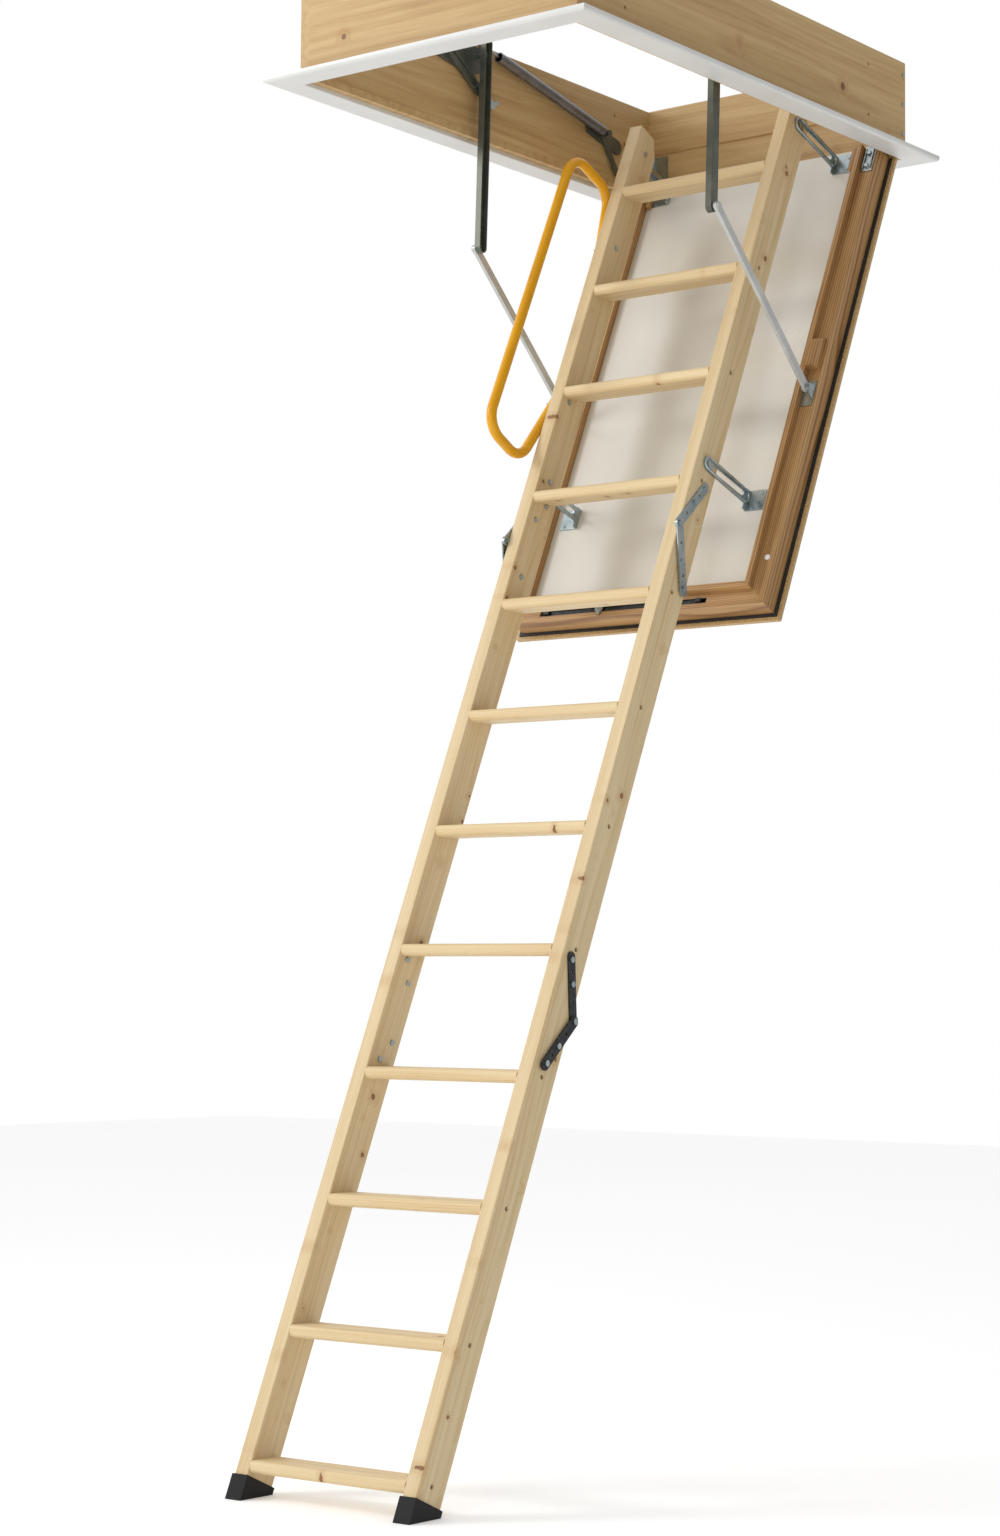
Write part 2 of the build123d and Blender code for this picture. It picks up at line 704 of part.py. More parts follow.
for section, (top_s, bottom_s) in upper_lower_ends.items():
    for side, sign in sides:
        with BuildPart() as stringer:
            with BuildSketch(ladder_view(low_x(sign, inner_half, outer_x))):
                if section == 3:
                    Polygon(*level_end, (top_s, front_h), (top_s, back_h), align=None)
                else:
                    rectangle_to((bottom_s, back_h), (top_s, front_h))
                if section == 1:
                    chamfer(vertices().group_by(Axis.X)[-1].sort_by(Axis.Y)[0], 46, 24)
            extrude(amount=stringer_thick)
            long_edges = stringer.edges().filter_by(Plane.YZ).sort_by(SortBy.LENGTH)[-4:]
            fillet(long_edges, 2.5)
            with BuildSketch(side_view(low_x(sign, inner_half, outer_x))):
                with Locations(*[tread_screw(index) for index in treads_of(section)]):
                    Circle(screw_radius)
            extrude(amount=stringer_thick, mode=Mode.SUBTRACT)
            with BuildSketch(side_view(low_x(sign, outer_x - recess_depth, outer_x))):
                with Locations(*[tread_screw(index) for index in treads_of(section)]):
                    Circle(head_radius)
            extrude(amount=recess_depth, mode=Mode.SUBTRACT)
            with BuildSketch(ladder_view(low_x(sign, outer_x - 25, outer_x))):
                with Locations(*section_bolts[section]):
                    Circle(bolt_radius)
                if section == 1 and sign < 0:
                    with Locations(*handrail_bolts):
                        Circle(bolt_radius)
            extrude(amount=25, mode=Mode.SUBTRACT)
        save(stringer, f"section{section}_stringer_{side}")

    with BuildPart() as treads:
        for index in treads_of(section):
            y, z = tread_corner(index)
            with BuildSketch(side_view(-inner_half)):
                with Locations((y + tread_depth / 2, z + tread_thick / 2)):
                    Rectangle(tread_depth, tread_thick)
                corners = vertices()
                fillet(corners.group_by(Axis.X)[0], 9)
                fillet(vertices().group_by(Axis.X)[-1], 4)
            extrude(amount=2 * inner_half)
        for x in (-inner_half, inner_half - 18):
            with BuildSketch(side_view(x)):
                with Locations(*[tread_screw(index) for index in treads_of(section)]):
                    Circle(screw_radius)
            extrude(amount=18, mode=Mode.SUBTRACT)
    save(treads, f"section{section}_treads")

    plate_out = outer_x + strap_thick
    with BuildPart() as screws:
        for side, sign in sides:
            with BuildSketch(side_view(low_x(sign, inner_half - 17, outer_x - recess_depth + 1))):
                with Locations(*[tread_screw(index) for index in treads_of(section)]):
                    Circle(screw_radius)
            extrude(amount=outer_x - recess_depth + 1 - inner_half + 17)
            with BuildSketch(side_view(low_x(sign, outer_x - recess_depth, outer_x - recess_depth + 3))):
                with Locations(*[tread_screw(index) for index in treads_of(section)]):
                    Circle(head_radius)
            extrude(amount=3)
            for group, spots in fold_bolts.items():
                if not set(spots) <= set(section_bolts[section]):
                    continue
                out = plate_out if group.endswith("top") else plate_out + strap_thick + strap_gap
                with BuildSketch(ladder_view(low_x(sign, outer_x - 24, out))):
                    with Locations(*spots):
                        Circle(bolt_radius)
                extrude(amount=out - outer_x + 24)
                with BuildSketch(ladder_view(low_x(sign, out, out + 3))):
                    with Locations(*spots):
                        Circle(6)
                extrude(amount=3)
            if section == 1:
                with BuildSketch(ladder_view(low_x(sign, outer_x - 24, plate_out))):
                    with Locations(*bracket_bolts):
                        Circle(bolt_radius)
                extrude(amount=24 + strap_thick)
                with BuildSketch(ladder_view(low_x(sign, plate_out, plate_out + 3))):
                    with Locations(*bracket_bolts):
                        Circle(6)
                extrude(amount=3)
        if section == 1:
            tube_out = handrail_x - rail_radius
            with BuildSketch(ladder_view(tube_out)):
                with Locations(*handrail_bolts):
                    Circle(bolt_radius)
            extrude(amount=24 - outer_x - tube_out)
            with BuildSketch(ladder_view(tube_out - 2)):
                with Locations(*handrail_bolts):
                    Circle(6)
            extrude(amount=3)
    save(screws, f"section{section}_screws")

# ---- handrail ----
route_plane = ladder_view(handrail_x)
with BuildPart() as handrail:
    with BuildLine(route_plane) as route:
        FilletPolyline(*handrail_route, radius=50)
    with BuildSketch(Plane(origin=route.line @ 0, z_dir=route.line % 0)):
        Circle(rail_radius)
    sweep(path=route.line)
    with BuildSketch(Plane(origin=route.line @ 0, z_dir=route.line % 0)):
        Circle(rail_radius - rail_wall)
    sweep(path=route.line, mode=Mode.SUBTRACT)
    # spacers that stand the tube off the stringer, and the bolt holes
    for spot in handrail_bolts:
        with BuildSketch(ladder_view(handrail_x)):
            with Locations(spot):
                Circle(6)
        extrude(amount=-outer_x - handrail_x)
    with BuildSketch(ladder_view(handrail_x - rail_radius - 3)):
        with Locations(*handrail_bolts):
            Circle(bolt_radius)
    extrude(amount=40, mode=Mode.SUBTRACT)
    with BuildSketch(ladder_view(handrail_x - rail_radius - 3)):
        with Locations(*handrail_bolts):
            Circle(6)
    extrude(amount=4, mode=Mode.SUBTRACT)
save(handrail, "handrail")


# ---- fold hinges ----
spare_holes = (0.3, 0.8)  # how far along a strap its unused holes are


def hinge_straps(name, fold, bolts, outer_layer):
    """A pair of straps from a fold pivot along its two bolts; outer ones stand on bosses."""
    near = outer_x + (strap_thick + strap_gap if outer_layer else 0)
    reach = (bolts[-1][0] - fold[0], bolts[-1][1] - fold[1])
    tip = (fold[0] + reach[0] * 1.04, fold[1] + reach[1] * 1.04)
    with BuildPart() as straps:
        for sign in (-1, 1):
            with BuildSketch(ladder_view(low_x(sign, near, near + strap_thick))):
                bar_between(fold, tip, strap_width)
                with Locations(fold):
                    Circle(pin_radius + running_fit, mode=Mode.SUBTRACT)
                with Locations(*[(fold[0] + reach[0] * part, fold[1] + reach[1] * part) for part in spare_holes]):
                    Circle(3, mode=Mode.SUBTRACT)
            extrude(amount=strap_thick)
            if outer_layer:
                with BuildSketch(ladder_view(low_x(sign, outer_x, near))):
                    with Locations(*bolts):
                        Circle(8)
                extrude(amount=near - outer_x)
            with BuildSketch(ladder_view(low_x(sign, outer_x, near + strap_thick))):
                with Locations(*bolts):
                    Circle(bolt_radius)
            extrude(amount=near + strap_thick - outer_x, mode=Mode.SUBTRACT)
    save(straps, name)


hinge_straps("upper_hinge_straps_top", upper_fold, fold_bolts["upper_top"], False)
hinge_straps("upper_hinge_straps_bottom", upper_fold, fold_bolts["upper_bottom"], True)
hinge_straps("lower_hinge_straps_top", lower_fold, fold_bolts["lower_top"], False)
hinge_straps("lower_hinge_straps_bottom", lower_fold, fold_bolts["lower_bottom"], True)

with BuildPart() as fold_pins:
    for sign in (-1, 1):
        with BuildSketch(ladder_view(low_x(sign, outer_x - 4, outer_x + 9))):
            with Locations(upper_fold, lower_fold):
                Circle(pin_radius)
        extrude(amount=13)
        with BuildSketch(ladder_view(low_x(sign, outer_x + 6.5, outer_x + 9.5))):
            with Locations(upper_fold, lower_fold):
                Circle(6.5)
        extrude(amount=3)
save(fold_pins, "fold_hinge_pins")

# ---- feet ----
foot_wall = 3
cap_top = last_tread_s - 2
with BuildPart() as feet:
    for side, sign in sides:
        cap_low = low_x(sign, inner_half - foot_wall, outer_x + foot_wall)
        with BuildSketch(ladder_view(cap_low)):
            rectangle_to((level_end[1][0] - 70, back_h - foot_wall), (cap_top, front_h + foot_wall))
        extrude(amount=stringer_thick + 2 * foot_wall)
    # the soles are cut level with the floor
    with BuildSketch(Plane.XY.offset(floor_z)):
        with Locations((0, -880)):
            Rectangle(600, 400)
    extrude(amount=-200, mode=Mode.SUBTRACT)
    for side, sign in sides:
        with BuildSketch(ladder_view(low_x(sign, inner_half, outer_x))):
            Polygon(*level_end, (cap_top + 5, front_h), (cap_top + 5, back_h), align=None)
        extrude(amount=stringer_thick, mode=Mode.SUBTRACT)
save(feet, "feet")
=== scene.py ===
import math

import bmesh
import bpy
from mathutils import Matrix, Vector


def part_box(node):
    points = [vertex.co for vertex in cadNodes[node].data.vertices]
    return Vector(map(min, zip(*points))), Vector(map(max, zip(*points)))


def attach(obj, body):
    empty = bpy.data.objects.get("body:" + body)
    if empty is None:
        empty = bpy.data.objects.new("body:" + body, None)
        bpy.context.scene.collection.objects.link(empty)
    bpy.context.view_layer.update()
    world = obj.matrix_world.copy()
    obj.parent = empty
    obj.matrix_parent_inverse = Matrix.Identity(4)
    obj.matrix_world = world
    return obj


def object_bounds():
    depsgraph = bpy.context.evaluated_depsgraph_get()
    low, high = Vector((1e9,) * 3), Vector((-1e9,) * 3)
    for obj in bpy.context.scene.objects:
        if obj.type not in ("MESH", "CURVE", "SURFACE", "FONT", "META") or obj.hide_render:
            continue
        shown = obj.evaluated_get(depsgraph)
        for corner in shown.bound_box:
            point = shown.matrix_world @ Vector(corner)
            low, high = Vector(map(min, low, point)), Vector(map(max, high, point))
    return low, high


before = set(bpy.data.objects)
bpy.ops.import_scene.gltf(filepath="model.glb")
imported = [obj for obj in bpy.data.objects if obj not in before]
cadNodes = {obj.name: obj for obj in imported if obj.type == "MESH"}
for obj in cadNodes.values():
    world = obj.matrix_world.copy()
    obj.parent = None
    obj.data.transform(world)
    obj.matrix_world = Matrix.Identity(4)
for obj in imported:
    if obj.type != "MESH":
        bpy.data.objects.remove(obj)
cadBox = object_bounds()
scene = bpy.context.scene
print("frame loaded, parts:", len(cadNodes))

# how the ladder lies, as in the CAD part: s runs up the ladder from the hatch hinge, h stands off it
ladder = {
    "angle": math.radians(66.2),
    "hinge": (0.575, 0.005),  # y and z of the hatch hinge line
    "treadPitch": 0.2625,
    "treadDeep": 0.076,
    "treadThick": 0.024,
    "stringerMiddleX": 0.201,
    "stringerMiddleH": 0.198,
}
upLadder = Vector((0, math.cos(ladder["angle"]), math.sin(ladder["angle"])))
offLadder = Vector((0, -math.sin(ladder["angle"]), math.cos(ladder["angle"])))
hingePoint = Vector((0, *ladder["hinge"]))
acrossX = Vector((1, 0, 0))


def onLadder(x, s, h):
    return hingePoint + acrossX * x + upLadder * s + offLadder * h


def colour(hexText):
    # sRGB hex to linear, for the shader sockets
    channels = [int(hexText[i:i + 2], 16) / 255 for i in (1, 3, 5)]
    return (*[c / 12.92 if c <= 0.04045 else ((c + 0.055) / 1.055) ** 2.4 for c in channels], 1)


def addNode(tree, kind, settings=None, inputs=None, stops=None):
    # one node with its settings, its input values or links, and a ramp's stops
    node = tree.nodes.new(kind)
    for name, value in (settings or {}).items():
        setattr(node, name, value)
    for socket, value in (inputs or {}).items():
        if isinstance(value, bpy.types.Node):
            value = value.outputs[0]
        if isinstance(value, bpy.types.NodeSocket):
            tree.links.new(value, node.inputs[socket])
        else:
            node.inputs[socket].default_value = value
    if stops:
        elements = node.color_ramp.elements
        while len(elements) < len(stops):
            elements.new(1)
        for element, (position, hexText) in zip(elements, stops):
            element.position = position
            element.color = colour(hexText)
    return node


def lengthAlong(tree, place, axis):
    # how far a point lies along an axis
    dot = addNode(tree, "ShaderNodeVectorMath", {"operation": "DOT_PRODUCT"}, {0: place, 1: axis})
    return dot.outputs["Value"]


def newMaterial(name):
    material = bpy.data.materials.new(name)
    material.use_nodes = True
    tree = material.node_tree
    tree.nodes.clear()
    shader = addNode(tree, "ShaderNodeBsdfPrincipled")
    addNode(tree, "ShaderNodeOutputMaterial", inputs={"Surface": shader})
    return material, tree, shader


# how the figure runs in every kind of timber here: noise scales are along, across and through the plank
figure = {
    "sideShift": 2.37,  # how far apart along the grain a left and a right plank are cut
    "plankShift": 3.91,  # the same, from one tread to the next
    "knotDepth": 0.3,
    "knotEdge": 160.0,
    "ringPush": 0.007,  # how far a knot pushes the rings aside
    "slowBend": (1.1, 7, 7),
    "bendBy": 0.03,
    "bands": (1.6, 55, 55),
    "fibres": (14, 620, 620),
    "grainDepth": 0.0006,
}


def woodMaterial(name, wood, lie):
    # solid softwood: growth rings cut by the faces, streaks along the grain, and knots
    material, tree, shader = newMaterial(name)
    mathNode = "ShaderNodeMath"
    place = addNode(tree, "ShaderNodeTexCoord").outputs["Object"]
    axes = [Vector(lie["along"]), Vector(lie["across"])]
    axes.append(axes[0].cross(axes[1]))
    along, across, through = [lengthAlong(tree, place, axis) for axis in axes]
    centre = lie["centre"]
    across = addNode(tree, mathNode, {"operation": "SUBTRACT"}, {0: across, 1: centre[0]})
    if lie.get("mirrored"):  # a left and a right plank, the same distance from the middle
        side = addNode(tree, mathNode, {"operation": "SIGN"}, {0: through})
        through = addNode(tree, mathNode, {"operation": "ABSOLUTE"}, {0: through})
        through = addNode(tree, mathNode, {"operation": "SUBTRACT"}, {0: through, 1: centre[1]})
        number = addNode(tree, mathNode, {"operation": "MULTIPLY"}, {0: side, 1: figure["sideShift"]})
    elif lie.get("pitch"):  # planks one above the other, at this rise and run
        run, rise = lie["pitch"]
        through = addNode(tree, mathNode, {"operation": "SUBTRACT"}, {0: through, 1: centre[1]})
        count = addNode(tree, mathNode, {"operation": "DIVIDE"}, {0: through, 1: rise})
        count = addNode(tree, mathNode, {"operation": "ROUND"}, {0: count})
        step = addNode(tree, mathNode, {"operation": "MULTIPLY"}, {0: count, 1: rise})
        through = addNode(tree, mathNode, {"operation": "SUBTRACT"}, {0: through, 1: step})
        step = addNode(tree, mathNode, {"operation": "MULTIPLY"}, {0: count, 1: run})
        across = addNode(tree, mathNode, {"operation": "SUBTRACT"}, {0: across, 1: step})
        number = addNode(tree, mathNode, {"operation": "MULTIPLY"}, {0: count, 1: figure["plankShift"]})
    else:
        through = addNode(tree, mathNode, {"operation": "SUBTRACT"}, {0: through, 1: centre[1]})
        number = 0.0
    along = addNode(tree, mathNode, {"operation": "ADD"}, {0: along, 1: number})
    along = addNode(tree, mathNode, {"operation": "ADD"}, {0: along, 1: wood["seed"]})
    plank = addNode(tree, "ShaderNodeCombineXYZ", inputs={0: along, 1: across, 2: through})

    # knots: a share of the cells has one, drawn out through the plank
    spacing = wood["knotSpacing"]
    cells = addNode(tree, "ShaderNodeMapping", inputs={
        "Vector": plank, "Scale": (1 / spacing, 1 / spacing, figure["knotDepth"] / spacing)})
    knot = addNode(tree, "ShaderNodeTexVoronoi", inputs={"Vector": cells, "Scale": 1.0})
    # a ragged edge, up to 2 mm either way
    rough = addNode(tree, "ShaderNodeTexNoise", inputs={
        "Vector": plank, "Scale": figure["knotEdge"], "Detail": 2.0})
    wobble = addNode(tree, mathNode, {"operation": "MULTIPLY_ADD"}, {0: rough, 1: 0.05, 2: -0.025})
    away = addNode(tree, mathNode, {"operation": "MULTIPLY_ADD"},
                   {0: knot.outputs["Distance"], 1: spacing, 2: 0.0})
    away = addNode(tree, mathNode, {"operation": "MULTIPLY_ADD"}, {0: wobble, 1: 0.08, 2: away})
    chance = addNode(tree, "ShaderNodeSeparateColor", inputs={0: knot.outputs["Color"]})
    present = addNode(tree, mathNode, {"operation": "LESS_THAN"}, {
        0: chance.outputs["Red"], 1: wood["knotShare"]})
    size = addNode(tree, "ShaderNodeMapRange", inputs={
        "Value": chance.outputs["Green"], "To Min": wood["knotSize"][0], "To Max": wood["knotSize"][1]})
    ratio = addNode(tree, mathNode, {"operation": "DIVIDE"}, {0: away, 1: size})
    core = addNode(tree, "ShaderNodeMapRange", {"interpolation_type": "SMOOTHSTEP"}, {
        "Value": ratio, "From Min": 1.15, "From Max": 0.85, "To Min": 0.0, "To Max": 1.0})
    core = addNode(tree, mathNode, {"operation": "MULTIPLY"}, {0: core, 1: present})
    halo = addNode(tree, "ShaderNodeMapRange", {"interpolation_type": "SMOOTHSTEP"}, {
        "Value": ratio, "From Min": 4.0, "From Max": 0.6, "To Min": 0.0, "To Max": 1.0})
    halo = addNode(tree, mathNode, {"operation": "MULTIPLY"}, {0: halo, 1: present})

    # growth rings: distance from a pith off to one side, bent by slow noise and pushed round the knots
    slow = addNode(tree, "ShaderNodeMapping", inputs={"Vector": plank, "Scale": figure["slowBend"]})
    bend = addNode(tree, "ShaderNodeTexNoise", inputs={"Vector": slow, "Scale": 1.0, "Detail": 2.0})
    bend = addNode(tree, "ShaderNodeVectorMath", {"operation": "MULTIPLY_ADD"}, {
        0: bend.outputs["Color"], 1: (figure["bendBy"],) * 3, 2: (0.0, *wood["pith"])})
    bent = addNode(tree, "ShaderNodeVectorMath", {"operation": "ADD"}, {0: plank, 1: bend})
    bent = addNode(tree, "ShaderNodeVectorMath", {"operation": "MULTIPLY"}, {0: bent, 1: (0, 1, 1)})
    radius = addNode(tree, "ShaderNodeVectorMath", {"operation": "LENGTH"}, {0: bent}).outputs["Value"]
    radius = addNode(tree, mathNode, {"operation": "MULTIPLY_ADD"}, {
        0: halo, 1: figure["ringPush"], 2: radius})
    ring = addNode(tree, mathNode, {"operation": "DIVIDE"}, {0: radius, 1: wood["ring"]})
    ring = addNode(tree, mathNode, {"operation": "FRACT"}, {0: ring})
    ring = addNode(tree, "ShaderNodeValToRGB", {}, {0: ring}, [
        (0.0, "#404040"), (0.45, "#707070"), (0.82, "#FFFFFF"), (1.0, "#404040")])

    # streaks: long soft bands, and fine fibres that the rings sit on
    bands = addNode(tree, "ShaderNodeMapping", inputs={"Vector": plank, "Scale": figure["bands"]})
    bands = addNode(tree, "ShaderNodeTexNoise", inputs={"Vector": bands, "Scale": 1.0, "Detail": 3.0})
    fibres = addNode(tree, "ShaderNodeMapping", inputs={"Vector": plank, "Scale": figure["fibres"]})
    fibres = addNode(tree, "ShaderNodeTexNoise", inputs={"Vector": fibres, "Scale": 1.0, "Detail": 4.0})
    tone = addNode(tree, mathNode, {"operation": "MULTIPLY_ADD"}, {0: bands, 1: wood["bandShare"], 2: 0.0})
    tone = addNode(tree, mathNode, {"operation": "MULTIPLY_ADD"}, {0: ring, 1: wood["ringShare"], 2: tone})
    tone = addNode(tree, mathNode, {"operation": "MULTIPLY_ADD"}, {0: fibres, 1: wood["fibreShare"], 2: tone})
    shades = wood["shades"]
    skin = addNode(tree, "ShaderNodeValToRGB", {}, {0: tone}, [
        (0.25, shades[0]), (0.5, shades[1]), (0.72, shades[2])])
    heart = addNode(tree, "ShaderNodeValToRGB", {}, {0: ratio}, [
        (0.0, wood["knotShades"][0]), (0.7, wood["knotShades"][1]), (0.95, wood["knotShades"][2])])
    warm = addNode(tree, mathNode, {"operation": "MULTIPLY"}, {0: halo, 1: 0.35})
    skin = addNode(tree, "ShaderNodeMix", {"data_type": "RGBA"}, {
        "Factor": warm, "A": skin, "B": colour(wood["haloShade"])}).outputs["Result"]
    skin = addNode(tree, "ShaderNodeMix", {"data_type": "RGBA"}, {"Factor": core, "A": skin, "B": heart})
    tree.links.new(skin.outputs["Result"], shader.inputs["Base Color"])
    sheen = addNode(tree, "ShaderNodeMapRange", inputs={
        "Value": fibres, "To Min": wood["roughness"] - 0.08, "To Max": wood["roughness"] + 0.1})
    tree.links.new(sheen.outputs[0], shader.inputs["Roughness"])
    relief = addNode(tree, mathNode, {"operation": "MULTIPLY_ADD"}, {0: ring, 1: -0.35, 2: fibres})
    bump = addNode(tree, "ShaderNodeBump", inputs={
        "Strength": wood["relief"], "Distance": figure["grainDepth"], "Height": relief})
    tree.links.new(bump.outputs[0], shader.inputs["Normal"])
    shader.inputs["IOR"].default_value = 1.5
    return material


# planed spruce: pale cream softwood with faint yellow rings and small brown knots
spruceLook = {
    "shades": ("#DCC8A2", "#D2BA8E", "#C3A473"),
    "knotShades": ("#7A5130", "#9A6838", "#5E3C20"),
    "haloShade": "#B58752",
    "knotSpacing": 0.055,
    "knotShare": 0.6,
    "knotSize": (0.0028, 0.0065),
    "pith": (0.012, 0.075),
    "ring": 0.0045,  # real rings are about 2 mm, drawn coarser so that they show
    "bandShare": 0.6,
    "ringShare": 0.15,
    "fibreShare": 0.25,
    "roughness": 0.55,
    "relief": 0.12,
    "seed": 0.0,
}
# planed pine boards: the same figure, warmer and more golden
pineLook = {
    **spruceLook,
    "shades": ("#CBAE7C", "#B99763", "#A0794A"),
    "knotShades": ("#6B4020", "#8A5A2E", "#54321A"),
    "haloShade": "#A8743F",
    "knotSpacing": 0.1,
    "knotShare": 0.4,
    "knotSize": (0.004, 0.009),
    "pith": (0.01, 0.11),
    "ring": 0.006,
    "ringShare": 0.09,
    "seed": 1.7,
}
# moulded hatch rails: oiled pine, browner, close grained
railLook = {
    **spruceLook,
    "shades": ("#C9A26C", "#AC8352", "#835A32"),
    "knotShades": ("#4E2E18", "#6E4426", "#3E2412"),
    "haloShade": "#84552F",
    "knotSpacing": 0.12,
    "knotShare": 0.1,
    "knotSize": (0.003, 0.006),
    "pith": (0.02, 0.05),
    "ringShare": 0.3,
    "seed": 4.1,
    "roughness": 0.45,
}

# how each kind of plank lies: its grain, its width, where its middle is, and what repeats it
rise = ladder["treadPitch"] * upLadder.z
run = ladder["treadPitch"] * upLadder.y
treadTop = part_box("section1_treads")[1]
topTreadMiddle = (treadTop.y - ladder["treadDeep"] / 2, treadTop.z - ladder["treadThick"] / 2)
hingeH = hingePoint.dot(offLadder)
stringerLie = {
    "along": upLadder, "across": offLadder, "mirrored": True,
    "centre": (hingeH + ladder["stringerMiddleH"], ladder["stringerMiddleX"]),
}
treadLie = {"along": (1, 0, 0), "across": (0, 1, 0), "centre": topTreadMiddle, "pitch": (run, rise)}
sideBoardLie = {"along": (0, 1, 0), "across": (0, 0, 1), "centre": (0.1, 0.335), "mirrored": True}
endBoardLie = {"along": (1, 0, 0), "across": (0, 0, 1), "centre": (0.1, 0.595), "mirrored": True}
sideRailLie = {"along": upLadder, "across": offLadder, "centre": (hingeH + 0.02, 0.29), "mirrored": True}
endRailLie = {"along": (1, 0, 0), "across": offLadder, "centre": (hingeH + 0.02, 0)}

# the treads are a shade lighter than the stringers
treadLook = {**spruceLook, "seed": 7.3, "shades": ("#E2CDA4", "#D8BF92", "#C8A876")}

stringerSpruce = woodMaterial("spruce planed, stringers", spruceLook, stringerLie)
treadSpruce = woodMaterial("spruce planed, treads", treadLook, treadLie)
sideBoardPine = woodMaterial("pine planed, side boards", pineLook, sideBoardLie)
endBoardPine = woodMaterial("pine planed, end boards", {**pineLook, "seed": 5.9}, endBoardLie)
sideRailPine = woodMaterial("pine moulded, side rails", railLook, sideRailLie)
endRailPine = woodMaterial("pine moulded, end rails", {**railLook, "seed": 2.2}, endRailLie)


def coatedMaterial(name, look):
    # paint, plastic, rubber or plated metal: an even colour with faint clouding, specks and a fine skin
    material, tree, shader = newMaterial(name)
    place = addNode(tree, "ShaderNodeTexCoord").outputs["Object"]
    cloud = addNode(tree, "ShaderNodeTexNoise", inputs={
        "Vector": place, "Scale": 1 / look["cloudSize"], "Detail": 3.0})
    grit = addNode(tree, "ShaderNodeTexNoise", inputs={
        "Vector": place, "Scale": 1 / look["gritSize"], "Detail": 2.0})
    skin = addNode(tree, "ShaderNodeValToRGB", {}, {0: cloud}, [
        (0.3, look["shades"][0]), (0.5, look["shades"][1]), (0.7, look["shades"][2])])
    edge = look.get("edge")
    if edge:  # bare ply shows above this height over the hatch
        height = lengthAlong(tree, place, offLadder)
        bare = addNode(tree, "ShaderNodeMath", {"operation": "GREATER_THAN"},
                       {0: height, 1: hingeH + edge["above"]})
        grain = addNode(tree, "ShaderNodeTexNoise", inputs={"Vector": place, "Scale": 1 / edge["grain"]})
        ply = addNode(tree, "ShaderNodeValToRGB", {}, {0: grain}, [
            (0.35, edge["shades"][0]), (0.65, edge["shades"][1])])
        skin = addNode(tree, "ShaderNodeMix", {"data_type": "RGBA"}, {"Factor": bare, "A": skin, "B": ply})
        skin = skin.outputs["Result"]
    else:
        skin = skin.outputs[0]
    tree.links.new(skin, shader.inputs["Base Color"])
    mixed = addNode(tree, "ShaderNodeMath", {"operation": "MULTIPLY_ADD"}, {0: grit, 1: 0.2, 2: 0.0})
    mixed = addNode(tree, "ShaderNodeMath", {"operation": "MULTIPLY_ADD"}, {0: cloud, 1: 0.8, 2: mixed})
    gloss = addNode(tree, "ShaderNodeMapRange", inputs={
        "Value": mixed, "From Min": 0.3, "From Max": 0.7,
        "To Min": look["roughness"][0], "To Max": look["roughness"][1]})
    tree.links.new(gloss.outputs[0], shader.inputs["Roughness"])
    bump = addNode(tree, "ShaderNodeBump", inputs={
        "Strength": look["relief"], "Distance": look["gritSize"] * 0.08, "Height": grit})
    tree.links.new(bump.outputs[0], shader.inputs["Normal"])
    shader.inputs["Metallic"].default_value = look.get("metallic", 0.0)
    if not look.get("metallic"):
        shader.inputs["IOR"].default_value = look.get("ior", 1.5)
    shader.inputs["Coat Weight"].default_value = look.get("coat", 0.0)
    shader.inputs["Coat Roughness"].default_value = look.get("coatRoughness", 0.1)
    return material


